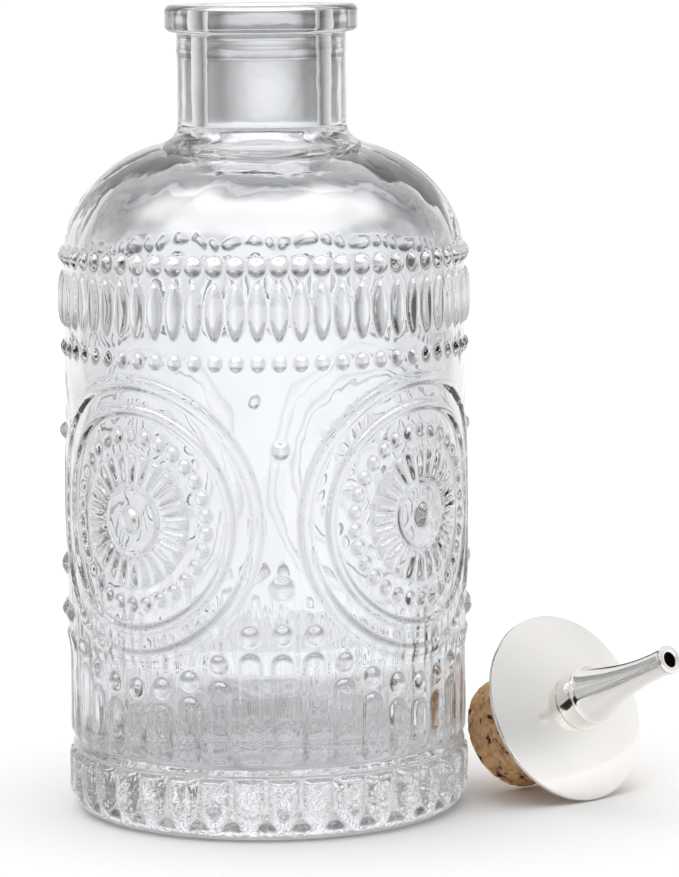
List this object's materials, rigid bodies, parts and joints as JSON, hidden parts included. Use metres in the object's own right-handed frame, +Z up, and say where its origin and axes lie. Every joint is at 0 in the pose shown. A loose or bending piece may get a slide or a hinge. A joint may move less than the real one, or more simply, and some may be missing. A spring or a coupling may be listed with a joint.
{
  "type": "bitters bottle",
  "caption": "Squat round pressed-glass bottle with beads, petals, ringed medallions and a ribbed waist, beside its cork dasher stopper with a domed metal cap and a flared pouring spout.",
  "frame": {"origin": "centre of the glass bottle's standing ring, on the bottle's axis, at table height", "axes": "+Z up along the bottle's axis and out of its mouth; -Y towards the viewer; +X towards the side on which the stopper lies"},
  "size_m": [0.0996, 0.0664, 0.13],
  "materials": {
    "clear_glass": "clear colourless pressed glass, fire polished",
    "cork": "natural cork, matte, with dark pits",
    "polished_steel": "mirror-polished stainless steel",
    "steel_tube": "drawn stainless steel tube"
  },
  "bodies": {
    "bottle": {"glass_bottle": "clear_glass"},
    "stopper": {"cap_disc": "polished_steel", "cork": "cork", "spout": "polished_steel", "stem_tube": "steel_tube"}
  },
  "joints": [
    {"name": "stopper_lift", "type": "slide", "parent": "bottle", "child": "stopper", "axis": [0, 0, 1], "range_m": [0, 0.14]}
  ]
}
